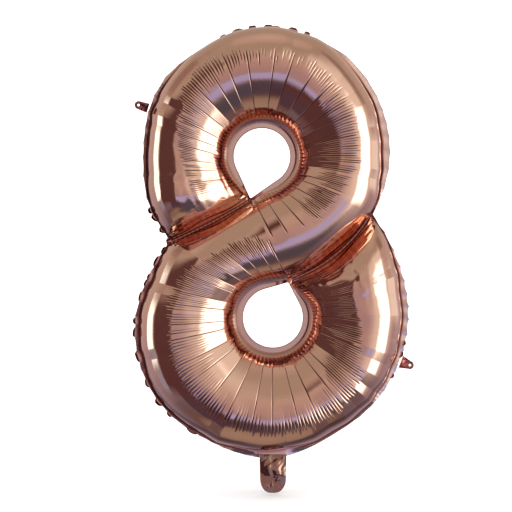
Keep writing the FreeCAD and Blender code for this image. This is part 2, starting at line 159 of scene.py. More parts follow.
# How dark the painted shade line between the bulge and the rim is.
RIM_PAINTED_SHADE = {
    "upper": [(0, 0.9), (0.3, 0.9), (0.38, 0.1), (0.54, 0.1), (0.62, 0.9), (1, 0.9)],
    "lower": [(0, 0.9), (0.3, 0.7), (0.42, 0.55), (0.6, 0.9), (1, 0.9)],
}
# How far in from the bulge's foot that painted shade line runs, in millimetres.
RIM_PAINTED_SHADE_IN = {
    "upper": [(0, 0), (1, 0)],
    "lower": [(0, 0), (0.22, 2), (0.3, 14), (0.37, 19), (0.44, 11), (0.5, 15), (0.58, 7), (0.66, 0), (1, 0)],
}
# Curled lobes of the rim: the stretches they lie on, with the number of lobes in each, half a lobe's length
# and how far it stands out, in millimetres.
RIM_CURLS = {
    "upper": ((0.0, 0.06, 4, 8, 9), (0.40, 0.52, 7, 10, 6)),
    "lower": ((0.17, 0.25, 3, 7, 3), (0.52, 0.98, 18, 9, 5)),
}
# The radii between which the fine pleats run, in millimetres.
PLEATS_OUT = {
    "upper": [(0, 150), (0.2, 165), (0.28, 180), (0.35, 207), (0.46, 203), (0.58, 196), (0.71, 187),
              (0.83, 168), (1, 156)],
    "lower": [(0, 146), (0.1, 158), (0.185, 168), (0.268, 198), (0.352, 222), (0.435, 227), (0.56, 217),
              (0.685, 206), (0.8, 193), (0.87, 172), (1, 156)],
}
PLEATS_IN = {
    "upper": [(0, 118), (0.2, 124), (0.32, 140), (0.38, 162), (0.58, 160), (0.64, 122),
              (0.8, 118), (1, 118)],
    "lower": [(0, 108), (0.22, 112), (0.3, 136), (0.37, 176), (0.5, 172), (0.58, 146), (0.66, 124),
              (0.78, 128), (1, 120)],
}
# The turn after which the fine pleats fade out and only long creases are left, and how much of a turn that
# takes.
PLEATS_STOP = {"upper": 0.86, "lower": 1.0}
PLEATS_FADE = 0.06


def fade(x):
    """1 at 0, falling smoothly to 0 at 1 and beyond."""
    x = np.clip(x, 0, 1)
    return (1 - x) ** 2 * (1 + 2 * x)


def step_up(x, low, high):
    """0 below low, rising smoothly to 1 at high."""
    return 1 - fade((x - low) / (high - low))


def polar(centre, bearing, radius):
    return centre + radius * np.exp(1j * np.radians(bearing))


def bearing_of(centre, point):
    return math.degrees(np.angle(point - centre))


def through(knots, x):
    """A smooth curve through (x, y) knots in rising order of x."""
    kx, ky = np.array(knots, float).T
    slope = np.gradient(ky, kx)
    i = np.clip(np.searchsorted(kx, x, side="right") - 1, 0, len(kx) - 2)
    span = kx[i + 1] - kx[i]
    t = (x - kx[i]) / span
    return (ky[i] * (1 + 2 * t) * (1 - t) ** 2 + slope[i] * span * t * (1 - t) ** 2
            + ky[i + 1] * t * t * (3 - 2 * t) + slope[i + 1] * span * t * t * (t - 1))


def waist_point(notch, cusp, sag, along):
    """A point of a waist seam's curved line, at a share of the way from its notch."""
    side = 1j * (cusp - notch) / abs(cusp - notch)
    return notch + (cusp - notch) * along + side * sag * 4 * along * (1 - along)


FINE_STEPS = 20001    # turns tried to find where the ribs leave the rim for the far waist seam


class Lobe:
    """One half of the S: the limb from its own waist seam, clockwise round its eye, to the middle rib.

    A rib is the line across the limb from the eye's weld to the outer weld. Ribs are numbered by turn,
    from 0 at the lobe's own waist seam to 1 at the middle rib, which the two lobes share.
    """

    def __init__(self, name, eye, eye_r, waist, far_waist, rim_r, outline):
        self.name, self.eye, self.eye_r = name, eye, eye_r
        self.notch, self.cusp, self.sag = waist
        self.far_waist = far_waist
        far_notch, far_cusp, _ = far_waist
        corners = np.arange(0, 1 + RIM_CORNER_EVERY, RIM_CORNER_EVERY)
        rng = np.random.default_rng(len(RIM_CURLS[name]) + int(abs(eye) / MM))
        scatter = rng.uniform(-RIM_CORNER_SCATTER, RIM_CORNER_SCATTER, len(corners))
        self.corner_turns = corners + scatter * RIM_CORNER_EVERY
        self.corner_out = rng.uniform(-1, 1, len(corners)) * RIM_CORNER_OUT
        self.cusp_bearing = bearing_of(eye, self.cusp) % 360
        first = self.cusp_bearing - (self.cusp_bearing - bearing_of(eye, self.notch)) % 360
        last = first - (first - bearing_of(eye, far_notch)) % 360
        far_cusp_bearing = first - (first - bearing_of(eye, far_cusp)) % 360
        inner = sorted((b - 360 * math.floor((b - last) / 360), rim_r + out * MM) for b, out in outline)
        self.knots = [(last, abs(far_notch - eye))] + inner + [(first, abs(self.notch - eye))]
        self.lead = self.cusp_bearing - first
        self.far_lead = self.cusp_bearing - 360 - far_cusp_bearing
        self.drop_half_angle = math.degrees(math.acos(eye_r / abs(self.cusp - eye)))
        self.last_bearing = last
        # The turn at which the ribs pass from the rim to the far waist seam.
        turns = np.linspace(0, 1, FINE_STEPS)
        self.corner = float(np.interp(-last, -self.rim_bearing(turns), turns))

    def rim_bearing(self, turn):
        return (self.cusp_bearing - 360 * turn - self.lead * fade(turn / FAN_SHARE)
                - self.far_lead * fade((1 - turn) / FAN_SHARE))

    def eye_radius(self, bearing):
        """A drop: a circle, and the two lines that touch it from the cusp."""
        off = np.abs((bearing - self.cusp_bearing + 180) % 360 - 180)
        return self.eye_r / np.cos(np.radians(np.clip(self.drop_half_angle - off, 0, None)))

    def eye_point(self, bearing, outwards=0.0):
        return polar(self.eye, bearing, self.eye_radius(bearing) + outwards)

    def rim_point(self, bearing):
        return polar(self.eye, bearing, through(self.knots, bearing))

    def rib_ends(self, turn):
        inner = self.eye_point(self.cusp_bearing - 360 * turn)
        along = np.clip((turn - self.corner) / (1 - self.corner), 0, 1)
        on_rim = self.rim_point(np.maximum(self.rim_bearing(turn), self.last_bearing))
        on_waist = waist_point(*self.far_waist, along)
        return inner, np.where(turn <= self.corner, on_rim, on_waist)

    def from_own_waist(self, point):
        """How far into the limb a point is from the lobe's own curved waist seam."""
        way = (self.cusp - self.notch) / abs(self.cusp - self.notch)
        local = (point - self.notch) / way
        along = local.real / abs(self.cusp - self.notch)
        return local.imag - self.sag * 4 * along * (1 - along), along

    def foot_widths(self, turn):
        """How far the bulge's feet stand in from the weld lines at the two ends of a rib."""
        near_waist = fade(turn / NARROW_SHARE) + fade((1 - turn) / NARROW_SHARE)
        at_eye = EYE_WELD_IN + (WAIST_WELD_IN - EYE_WELD_IN) * near_waist
        near_notch = fade(turn / NARROW_SHARE) + fade((self.corner - turn) / NARROW_SHARE)
        open_rim = through(RIM_IN[self.name], turn) * MM + np.interp(turn, self.corner_turns, self.corner_out)
        open_rim = np.maximum(open_rim, WAIST_WELD_IN)
        at_rim = open_rim + (WAIST_WELD_IN - open_rim) * np.clip(near_notch, 0, 1)
        return at_eye, np.where(turn > self.corner, WAIST_WELD_IN, at_rim)


def lobes():
    upper = Lobe("upper", UPPER_EYE, UPPER_EYE_R, LEFT_WAIST, RIGHT_WAIST, UPPER_R, UPPER_OUTLINE)
    lower = Lobe("lower", LOWER_EYE, LOWER_EYE_R, RIGHT_WAIST, LEFT_WAIST, LOWER_R, LOWER_OUTLINE)
    return upper, lower


# ---- creases, crumples and meshes --------------------------------------------------------------------

# Large uneven factors that make neighbouring corners of a lattice unlike each other.
SCATTER_I, SCATTER_J, SCATTER_SEED, SCATTER_SCALE = 127.1, 311.7, 74.7, 43758.5453


def lattice_value(i, j, seed):
    """A number from -1 to 1 for each corner of a lattice, always the same for the same corner."""
    mixed = np.sin(i * SCATTER_I + j * SCATTER_J + seed * SCATTER_SEED) * SCATTER_SCALE
    return 2 * (mixed - np.floor(mixed)) - 1


def crumple(u, v, cell, seed):
    """Flat triangles with creases between them: heights from -1 to 1, linear over each triangle."""
    x = u / cell + 0.25 * np.sin(v / cell * 1.7 + seed)
    y = v / cell + 0.25 * np.sin(u / cell * 1.3 + 2 * seed)
    i, j = np.floor(x), np.floor(y)
    a, b = x - i, y - j
    near, far = lattice_value(i, j, seed), lattice_value(i + 1, j + 1, seed)
    right, up = lattice_value(i + 1, j, seed), lattice_value(i, j + 1, seed)
    below = near + (right - near) * a + (far - right) * b
    above = near + (up - near) * b + (far - up) * a
    return np.where(a > b, below, above)


def swell(u, v, cell, seed):
    """Smooth bumps and dents: heights from about -1 to 1."""
    total = 0
    for k in range(4):
        angle = 0.7 + seed + 1.9 * k
        length = cell * (1 + 0.35 * k)
        way = u * math.cos(angle) + v * math.sin(angle)
        total = total + np.sin(way * 2 * math.pi / length + seed * (k + 1))
    return total / 2.5


def grid_normals(points):
    """Unit normals of a (rows, columns, 3) grid, from the lines through each point."""
    normals = np.cross(np.gradient(points, axis=0), np.gradient(points, axis=1))
    length = np.linalg.norm(normals, axis=2, keepdims=True)
    return normals / np.maximum(length, 1e-12)


def squares(corner):
    """The four-sided faces of a grid of point numbers."""
    faces = np.stack([corner[:-1, :-1], corner[1:, :-1], corner[1:, 1:], corner[:-1, 1:]], axis=2)
    return faces.reshape(-1, 4)


def grid_faces(rows, columns, flip=False):
    quads = squares(np.arange(rows * columns).reshape(rows, columns))
    return quads[:, ::-1] if flip else quads


def add_piece(name, points, faces, material, painted_tint_and_shade=None, painted_shades=None):
    """A smooth-shaded mesh object with two point attributes from 0 to 1: fold, a painted reflection tint that
    turns into painted shade past a half, and shade, painted shade.
    """
    mesh = bpy.data.meshes.new(name)
    mesh.from_pydata(np.asarray(points, float).reshape(-1, 3).tolist(), [], np.asarray(faces).tolist())
    mesh.validate()
    mesh.shade_smooth()
    mesh.materials.append(material)
    for key, values in (("fold", painted_tint_and_shade), ("shade", painted_shades)):
        if values is not None:
            layer = mesh.attributes.new(key, "FLOAT", "POINT")
            layer.data.foreach_set("value", np.clip(np.asarray(values, np.float32).ravel(), 0, 1))
    piece = bpy.data.objects.new(name, mesh)
    bpy.context.scene.collection.objects.link(piece)
    return piece


def film_faces(rows, columns, closed=False):
    """Faces of a thin film whose front points come first and back points after: two sides and the edges.

    closed joins the last column to the first, as round an eye.
    """
    count = rows * columns
    front = np.arange(count).reshape(rows, columns)
    if closed:
        front = np.concatenate([front, front[:, :1]], axis=1)
    quads = [squares(front)]
    quads.append(quads[0][:, ::-1] + count)
    edges = [front[0, ::-1], front[-1]]
    if not closed:
        edges += [front[:, 0], front[::-1, -1]]
    for line in edges:
        quads.append(np.stack([line[:-1], line[1:], line[1:] + count, line[:-1] + count], axis=1))
    return np.concatenate(quads)


def add_film(name, points, thickness, material, painted_tint_and_shade=None, closed=False):
    """A thin film whose middle is a (rows, columns, 3) grid, with both sides and closed edges."""
    half = grid_normals(points) * thickness / 2
    rows, columns = points.shape[:2]
    both = np.concatenate([(points + half).reshape(-1, 3), (points - half).reshape(-1, 3)])
    painted_tint_and_shade = None if painted_tint_and_shade is None else np.concatenate([painted_tint_and_shade.ravel(), painted_tint_and_shade.ravel()])
    return add_piece(name, both, film_faces(rows, columns, closed), material, painted_tint_and_shade)


def at_plan(plan, y):
    """Points in space from plan points and their Y."""
    plan = np.asarray(plan)
    return np.stack([plan.real, np.broadcast_to(y, plan.shape), plan.imag], axis=-1)


# ---- materials ---------------------------------------------------------------------------------------

class Nodes:
    """A short way to add and join shader nodes."""

    def __init__(self, tree):
        self.tree = tree
        tree.nodes.clear()

    def add(self, kind, settings=None, **inputs):
        node = self.tree.nodes.new("ShaderNode" + kind)
        for key, value in (settings or {}).items():
            setattr(node, key, value)
        for key, value in inputs.items():
            socket = node.inputs[int(key[1:])] if key[0] == "i" and key[1:].isdigit() else \
                node.inputs[key.replace("_", " ")]
            self.put(socket, value)
        return node

    def put(self, socket, value):
        if isinstance(value, bpy.types.NodeSocket):
            self.tree.links.new(value, socket)
        else:
            socket.default_value = value

    def math(self, operation, a, b=0.0):
        return self.add("Math", {"operation": operation}, i0=a, i1=b).outputs[0]

    def ramp(self, value, stops):
        """A colour ramp of (position, colour) stops, in linear colour."""
        node = self.add("ValToRGB", None, Fac=value)
        elements = node.color_ramp.elements
        while len(elements) < len(stops):
            elements.new(0.5)
        for element, (position, colour) in zip(elements, stops):
            element.position = position
            element.color = (*colour, 1)
        return node.outputs["Color"]

    def mix(self, share, a, b, blend="MIX"):
        return self.add("Mix", {"data_type": "RGBA", "blend_type": blend}, i0=share, i6=a, i7=b).outputs[2]

    def between(self, value, low, high, to_low=0.0, to_high=1.0):
        """value from low..high to to_low..to_high, smoothly."""
        node = self.add("MapRange", {"interpolation_type": "SMOOTHSTEP"}, i0=value, i1=low, i2=high)
        self.put(node.inputs[3], to_low)
        self.put(node.inputs[4], to_high)
        return node.outputs[0]


def opaque(colour):
    return (*colour, 1)


def new_material(name):
    """A material, its empty node tree, and the place of each point on its object."""
    material = bpy.data.materials.new(name)
    material.use_nodes = True
    n = Nodes(material.node_tree)
    return material, n, n.add("TexCoord").outputs["Object"]


def foil_material(name, colour, painted_reflection_colour, painted_fold_shade_colour, roughness, wrinkle, wrinkle_size):
    """Metallised film: a mirror coat on thin plastic, with fine wrinkles, and painted light in its base colour: a
    painted reflection tint and painted shade where the fold and shade attributes say.
    """
    material, n, place = new_material(name)
    haze = n.add("TexNoise", None, Vector=place, Scale=9.0, Detail=3.0).outputs["Fac"]
    grain = n.add("TexNoise", None, Vector=place, Scale=1 / wrinkle_size, Detail=4.0, Roughness=0.6)
    cells = n.add("TexVoronoi", {"feature": "DISTANCE_TO_EDGE"}, Vector=place, Scale=0.4 / wrinkle_size)
    creases = n.between(cells.outputs["Distance"], 0.0, 0.12)
    # Painted light: the fold attribute mixes in a painted reflection tint up to a half and painted shade beyond
    # it; the shade attribute mixes in painted shade.
    fold = n.add("Attribute", {"attribute_name": "fold"}).outputs["Fac"]
    tinted = n.mix(n.between(haze, 0.3, 0.7, 0.0, 0.35), opaque(colour), opaque([c * 0.9 for c in colour]))
    painted_reflection_mix = n.mix(n.between(fold, 0.0, 0.5), tinted, opaque(painted_reflection_colour))
    shade = n.add("Attribute", {"attribute_name": "shade"}).outputs["Fac"]
    dark = n.math("MAXIMUM", shade, n.between(fold, 0.5, 1.0))
    base = n.mix(dark, painted_reflection_mix, opaque(painted_fold_shade_colour))
    relief = n.math("ADD", grain.outputs["Fac"], n.math("MULTIPLY", creases, 0.35))
    bump = n.add("Bump", None, Strength=wrinkle, Distance=0.3 * MM, Height=relief).outputs["Normal"]
    shader = n.add("BsdfPrincipled", None, Base_Color=base, Metallic=1.0, Normal=bump,
                   Roughness=n.between(haze, 0.25, 0.75, roughness * 0.8, roughness * 1.25))
    n.add("OutputMaterial", None, Surface=shader.outputs[0])
    return material


def film_material(name, colour):
    """Clear valve film with a slight milky haze."""
    material, n, place = new_material(name)
    haze = n.add("TexNoise", None, Vector=place, Scale=60.0, Detail=4.0).outputs["Fac"]
    bump = n.add("Bump", None, Strength=0.2, Distance=0.2 * MM, Height=haze).outputs["Normal"]
    shader = n.add("BsdfPrincipled", None, Normal=bump, Alpha=0.55,
                   Base_Color=n.mix(haze, opaque(colour), opaque([c * 0.85 for c in colour])),
                   Roughness=n.between(haze, 0.3, 0.7, 0.16, 0.3))
    n.add("OutputMaterial", None, Surface=shader.outputs[0])
    return material


def material_for(kind):
    """The material of that kind, made once."""
    name = f"balloon_{kind}"
    if name in bpy.data.materials:
        return bpy.data.materials[name]
    c = bpy.context.scene.balloon_colours
    if kind == "valve_film":
        return film_material(name, c.valve)
    # Colour, painted reflection tint where the film mirrors itself, roughness, depth and size of the fine
    # wrinkles.
    looks = {
        "panel_foil": (c.foil, c.painted_reflection_colour, c.foil_roughness, 0.12, 9 * MM),
        "seam_foil": (c.seam, c.painted_reflection_colour, c.seam_roughness, 0.35, 4 * MM),
        # The tail and tabs take their own darker colours, painted shade of crumpled film, and no separate
        # reflection tint.
        "tail_foil": (c.tail, c.tail, c.tail_roughness, 0.45, 5 * MM),
        "tab_foil": (c.tab, c.tab, c.tail_roughness, 0.45, 4 * MM),
    }
    colour, painted_reflection_colour, roughness, wrinkle, wrinkle_size = looks[kind]
    return foil_material(name, colour, painted_reflection_colour, c.fold, roughness, wrinkle, wrinkle_size)


# ---- what a user would change ------------------------------------------------------------------------

class BalloonPleats(PropertyGroup):
    per_lobe: IntProperty(name="Pleats", description="Fine pleats round one lobe",
                          default=200, min=60, max=240)
    depth: FloatProperty(name="Pleat depth", description="Depth of a fine pleat, as a share of their spacing",
                         default=0.2, min=0, max=0.5)
    crease_every: IntProperty(name="Long crease every", description="Pleats from one long crease to the next",
                              default=7, min=3, max=20)
    ring_depth: FloatProperty(name="Eye pleat depth", description="Depth of the round pleats beside the eyes",
                              default=0.32 * MM, unit="LENGTH")
    facet_tilt: FloatProperty(name="Facet height", description="How far a long crease stands off the limb",
                              default=1.3 * MM, unit="LENGTH")
    rows: IntProperty(name="Rows", description="Rows of faces across the limb", default=79, min=20, max=82)


class BalloonColours(PropertyGroup):
    foil: FloatVectorProperty(name="Foil", description="Rose-gold mirror film of the panels", subtype="COLOR",
                              default=(0.88, 0.55, 0.43), min=0, max=1)
    # Painted reflection: a tint that stands in for the film mirroring itself.
    painted_reflection_colour: FloatVectorProperty(name="Copper", description="The same film where it mirrors itself",
                                subtype="COLOR", default=(0.74, 0.33, 0.25), min=0, max=1)
    # Painted shade: the colour painted deep inside folds, in pleat valleys and along the rim's line.
    fold: FloatVectorProperty(name="Folds", description="The same film deep inside a fold", subtype="COLOR",
                              default=(0.13, 0.038, 0.034), min=0, max=1)
    seam: FloatVectorProperty(name="Seams", description="Heat-welded film of the rim and eye seams",
                              subtype="COLOR", default=(0.90, 0.66, 0.59), min=0, max=1)
    # Painted shade: the tail's colour is a darker copy of the foil, standing in for the shade of its crumpled
    # film.
    tail: FloatVectorProperty(name="Tail", description="Crumpled film of the filling tail", subtype="COLOR",
                              default=(0.44, 0.25, 0.19), min=0, max=1)
    # Painted shade: the tabs' colour is a darker, redder copy of the foil, standing in for the shade of their
    # crumpled film.
    tab: FloatVectorProperty(name="Tabs", description="Film of the hanging tabs", subtype="COLOR",
                             default=(0.40, 0.12, 0.10), min=0, max=1)
    valve: FloatVectorProperty(name="Valve", description="Clear film of the valve", subtype="COLOR",
                               default=(0.86, 0.85, 0.82), min=0, max=1)
    foil_roughness: FloatProperty(name="Foil roughness", description="Blur of the panels' mirror",
                                  default=0.05, min=0, max=1, subtype="FACTOR")
    seam_roughness: FloatProperty(name="Seam roughness", description="Blur of the seams' mirror",
                                  default=0.17, min=0, max=1, subtype="FACTOR")
    tail_roughness: FloatProperty(name="Tail roughness", description="Blur of the tail's mirror",
                                  default=0.08, min=0, max=1, subtype="FACTOR")


class BalloonSeams(PropertyGroup):
    thickness: FloatProperty(name="Seam thickness", description="Both sheets fused",
                             default=0.4 * MM, unit="LENGTH")
    scallop: FloatProperty(name="Rim scallop", description="How far the free edge is drawn in between waves",
                           default=3 * MM, unit="LENGTH")
    wave_length: FloatProperty(name="Wave length", description="Along the rim, from wave to wave",
                               default=34 * MM, unit="LENGTH")


class BalloonStudio(PropertyGroup):
    distance: FloatProperty(name="Camera distance", description="From the seams' plane to the camera",
                            default=3.0, unit="LENGTH")
    lens: FloatProperty(name="Lens", description="Focal length on a 36 mm wide sensor, in millimetres",
                        default=105.0)
    centre_x: FloatProperty(name="View centre X", description="What the camera looks at", default=-0.034,
                            unit="LENGTH")
    centre_z: FloatProperty(name="View centre Z", description="What the camera looks at", default=0.406,
                            unit="LENGTH")
    floor_half: FloatProperty(name="Floor", description="Half the width of the floor",
                              default=12.0, unit="LENGTH")
    floor_gap: FloatProperty(name="Floor gap", description="From the floor up to the balloon's lowest point",
                             default=3 * MM, unit="LENGTH")


# ---- the inflated foil -------------------------------------------------------------------------------

# Where one pleat's columns of points stand, as shares of the pleats' spacing from the pleat's own line.
PLEAT_COLUMNS = (-0.21, -0.09, 0.0, 0.09, 0.21, 0.5)
PLEAT_HALF = 0.21
END_COLUMNS = (0.0, 0.01, 0.04, 0.1, 0.22)
# Radii in millimetres over which the flat facets between long creases begin and end.
FACETS_BEGIN, FACETS_END = (80, 96), (158, 186)
CREASE_START = 84            # the radius from which long creases run, in millimetres
MISSING_PLEATS = 0.08        # the share of the fine pleats that is left out
RIM_FACET_COLUMNS = 24       # columns of points to one straight stretch of the bulge's foot
# The limbs slope gently into the waist seams over this distance; a higher power makes the slope gentler.
WAIST_EASE = 22 * MM
WAIST_EASE_POWER = 0.42
FRONT_SEED, BACK_SEED, LOBE_SEED_STEP = 7, 47, 11


def base_skin(lobe, turns, rows):
    """The smooth front skin, (columns, rows) of plan points and depths in front of the seams."""
    inner, outer = lobe.rib_ends(turns)
    width = np.abs(outer - inner)
    at_eye, at_rim = lobe.foot_widths(turns)
    angle = np.linspace(0, math.pi, rows + 1)
    across = (1 - EDGE_LEAN) * (1 - np.cos(angle)) / 2 + EDGE_LEAN * angle / math.pi
    first, last = at_eye / width, 1 - at_rim / width
    share = first[:, None] + (last - first)[:, None] * across
    side = 1j * (inner - outer) / width
    near_end = fade(turns / END_SHARE)
    off = WAIST_WELD_IN * near_end[:, None] + (lobe.sag * near_end)[:, None] * 4 * share * (1 - share)
    plan = inner[:, None] + (outer - inner)[:, None] * share + side[:, None] * off
    skew = CROWN_SHIFT * (1 - fade((1 - turns) / FAN_SHARE))
    full = PLUMP * (width - at_eye - at_rim)
    from_end = np.clip((lobe.from_own_waist(plan)[0] - WAIST_WELD_IN) / END_ROUND, 0, 1)
    rise = np.where(turns[:, None] < 0.5, np.sqrt(1 - (1 - from_end) ** 2), 1.0)
    rise[turns == 0] = 0
    depth = full[:, None] * rise * np.sin(angle) * (1 + skew[:, None] * (across - 0.5))
    off_own = np.where(turns[:, None] < 0.5, np.clip(from_end * END_ROUND / WAIST_EASE, 0, 1), 1.0)
    off_far = np.clip((np.abs(plan - outer[:, None]) - WAIST_WELD_IN) / WAIST_EASE, 0, 1)
    past_notch = step_up(turns, lobe.corner - 0.02, lobe.corner + 0.03)[:, None]
    return plan, depth * off_own ** WAIST_EASE_POWER * off_far ** (WAIST_EASE_POWER * past_notch)


def facet(points, columns, weight, lift):
    """points drawn flat between each pair of columns, by weight, and lifted at those columns."""
    lines = points[columns] + lift
    where = np.arange(len(points))
    i = np.clip(np.searchsorted(columns, where, side="right") - 1, 0, len(columns) - 2)
    t = ((where - columns[i]) / (columns[i + 1] - columns[i]))[:, None, None]
    flat = lines[i] * (1 - t) + lines[i + 1] * t
    return points + (flat - points) * weight[..., None]


def uneven_steps(rng, first, stop, every, most_off):
    """Whole numbers every so many from first to below stop, each moved by up to most_off either way."""
    steps = np.arange(first, stop, every)
    return steps + rng.integers(-most_off, most_off + 1, size=len(steps))


class Skin:
    """One lobe's front skin while its relief is worked in, as a (columns, rows) grid of points.

    Radii and distances are in millimetres here. Each point also carries painted light for the material: a painted
    reflection tint, and painted shade.
    """

    def __init__(self, lobe, seed):
        self.lobe, self.seed, self.pleats = lobe, seed, bpy.context.scene.balloon_pleats
        self.rng = np.random.default_rng(seed)
        self.count = count = self.pleats.per_lobe
        self.centres = (np.arange(count) + 0.5 + self.rng.uniform(-0.1, 0.1, count)) / count
        turns = (self.centres[:, None] + np.array(PLEAT_COLUMNS) / count).ravel()
        self.turns = turns = np.concatenate([np.array(END_COLUMNS) / count, turns[:-1], [1.0]])
        self.turn = turns[:, None]
        # The pleat that each column belongs to.
        self.own = np.clip((np.arange(len(turns)) - len(END_COLUMNS)) // len(PLEAT_COLUMNS), 0, count - 1)
        self.plan, depth = base_skin(lobe, turns, self.pleats.rows)
        self.points = at_plan(self.plan, -(SKIN_FOOT_Y + depth))
        self.normals = grid_normals(self.points)
        self.radius = np.abs(self.plan - lobe.eye) / MM
        self.to_rim = np.abs(self.plan - lobe.rib_ends(turns)[1][:, None]) / MM
        from_waist, self.along_waist = lobe.from_own_waist(self.plan)
        self.from_waist = from_waist / MM
        self.edge = np.sin(np.linspace(0, math.pi, self.pleats.rows + 1))
        self.painted_shades = np.zeros(self.plan.shape)

    def push(self, height):
        """Move the points outwards by height, in metres."""
        self.points = self.points + self.normals * height[..., None]

    # Painted shade: keeps the darker of the two.
    def paint_shade(self, shade):
        self.painted_shades = np.maximum(self.painted_shades, shade)

    def wander(self):
        """Broad, low bumps and dents."""
        bumps = swell(self.plan.real, self.plan.imag, 0.16, 3 + self.seed)
        self.push(0.7 * MM * bumps * self.edge * step_up(self.turn, 0, 0.03))

    def flatten(self, columns, weight, most_lift):
        """Draw the skin flat between some columns, each of them a little raised or sunk."""
        lift = self.rng.uniform(-1, 1, len(columns)) * most_lift
        lift[[0, -1]] = 0
        self.points = facet(self.points, columns, weight, self.normals[columns] * lift[:, None, None])

    def crease_facets(self):
        """Flat facets between the long creases."""
        every = self.pleats.crease_every
        creases = uneven_steps(self.rng, every // 2, self.count, every, 1)
        creases = np.unique(np.clip(creases, 0, self.count - 1))
        self.is_crease = np.isin(np.arange(self.count), creases)
        first = len(END_COLUMNS) + PLEAT_COLUMNS.index(0.0)
        columns = np.concatenate([[0], first + len(PLEAT_COLUMNS) * creases, [len(self.turns) - 1]])
        weight = step_up(self.radius, *FACETS_BEGIN) * (1 - step_up(self.radius, *FACETS_END))
        self.flatten(columns, weight * step_up(self.turn, 0.04, 0.1), self.pleats.facet_tilt)

    def rim_facets(self):
        """The bulge's foot along the rim, drawn into short straight stretches."""
        last = len(self.turns) - 1
        columns = uneven_steps(self.rng, 0, len(self.turns), RIM_FACET_COLUMNS, RIM_FACET_COLUMNS // 4)
        columns = np.unique(np.clip(np.append(columns, last), 0, last))
        weight = 0.5 * (1 - step_up(self.to_rim, 12, 32)) * self.edge * (self.turn < self.lobe.corner)
        self.flatten(columns, weight, 0.4 * MM)

    def fine_pleats(self):
        """Fine pleats, deepest at their outer ends, where each stops short. Long creases start further in. Painted
        shade makes their valleys darker, more so towards the outer ends and along long creases.
        """
        self.normals = grid_normals(self.points)
        spacing = np.linalg.norm(np.gradient(self.points, self.turns, axis=0), axis=2) / self.count
        starts = through(PLEATS_IN[self.lobe.name], self.centres) + self.rng.normal(0, 7, self.count)
        ends = through(PLEATS_OUT[self.lobe.name], self.centres) + self.rng.normal(0, 4, self.count)
        strength = self.rng.uniform(0.55, 1.0, self.count)
        strength[self.rng.random(self.count) < MISSING_PLEATS] = 0
        stop = PLEATS_STOP[self.lobe.name]
        strength = strength * (1 - step_up(self.centres, stop, stop + PLEATS_FADE))
        starts[self.is_crease] = CREASE_START
        strength[self.is_crease] = 1.0
        start, end = starts[self.own][:, None], ends[self.own][:, None]
        reach = step_up(self.radius, start, start + 22) * (1 - step_up(self.radius, end - 3, end + 4))
        reach = reach * strength[self.own][:, None] * step_up(self.turn, 0.035, 0.08)
        comb = 0.45 + 0.75 * step_up(self.radius, end - 34, end - 12)
        from_line = (self.turns - self.centres[self.own]) * self.count
        valley = np.clip(1 - np.abs(from_line) / PLEAT_HALF, 0, 1)[:, None] ** 1.2
        self.push(-(valley * reach * comb) * self.pleats.depth * spacing)
        # Painted shade in the pleats' valleys.
        inward = np.where(self.is_crease, 0.85, 0.45)[self.own][:, None]
        outward = step_up(self.radius, end - 40, end - 18)
        self.paint_shade(valley ** 0.6 * reach * (inward + (1 - inward) * outward))

    def eye_pleats(self):
        """Round pleats beside the eye, one for every three fine ones, with a painted reflection tint and painted
        shade in their valleys, behind a smooth wall painted dark as painted shade.
        """
        phase = (self.turns * self.count + 0.5) / 3
        wave = np.abs(np.sin(math.pi * phase + 0.35 * swell(self.turns, 0, 0.05, self.seed)))[:, None]
        off_eye = self.radius - self.lobe.eye_r / MM
        reach = 30 + 6 * np.sin(np.floor(phase) * 2.4)[:, None]
        ring = step_up(off_eye, 13, 18) * (1 - step_up(off_eye, reach - 8, reach + 8))
        ring = ring * step_up(self.turn, 0.02, 0.06)
        self.push((wave - 0.6) * ring * self.pleats.ring_depth)
        # Painted reflection tint over the pleats, and painted shade in their valleys and on the smooth wall by the
        # eye.
        self.painted_tint_and_shade = ring * 0.4
        self.paint_shade(ring * 0.6 * (1 - wave) ** 2)
        self.paint_shade((1 - step_up(off_eye, 11, 17)) * step_up(self.turn, 0.0, 0.05) * 0.45)

    def rolls(self, distance, width, here, short, short_high, long_every, long_high, bend):
        """Long rolls beside a waist seam with short pleats across them, painted shade in those pleats, and painted
        shade in the seam's valley.
        """
        near = (1 - step_up(distance, *width)) * step_up(distance, 2, 5) * here
        long = np.sin(2 * math.pi * distance / long_every + 1.4 * np.sin(bend + self.seed))
        self.push(((short - 0.6) * short_high + long * long_high) * near * MM)
        self.paint_shade(near * 0.22 * (1 - short) ** 2)
        self.paint_shade(0.7 * (1 - step_up(distance, 1, 4)) * here)

    def waist_rolls(self):
        """The rolls beside the lobe's own waist seam, and beside the far one."""
        self.normals = grid_normals(self.points)
        along = self.along_waist
        short = np.abs(np.sin(math.pi * (along * 17 + 0.12 * np.sin(along * 37))))
        self.rolls(self.from_waist, (10, 24), self.turn < 0.3, short, 0.15, 9, 0.8, along * 9)
        short = np.abs(np.sin(math.pi * self.turn * self.count / 3))
        self.rolls(self.to_rim, (8, 20), self.turn > self.lobe.corner, short, 0.2, 8, 0.6, self.turn * 60)

    def crumpled_end(self):
        """The crumpled, streaked end of the limb beside its own waist seam."""
        x, z = self.plan.real, self.plan.imag
        end = (1 - step_up(self.turn, 0.05, 0.17)) * step_up(self.from_waist, 8, 30) * self.edge
        big = crumple(x, z, 42 * MM, 5 + self.seed) * 2.6 + crumple(x, z, 19 * MM, 9 + self.seed) * 0.7
        across = np.linspace(0, 1, self.pleats.rows + 1)
        streaks = np.sin(across * 70 + 2 * np.sin(across * 23 + self.seed)) * 0.35
        self.push((big + streaks) * end * MM)

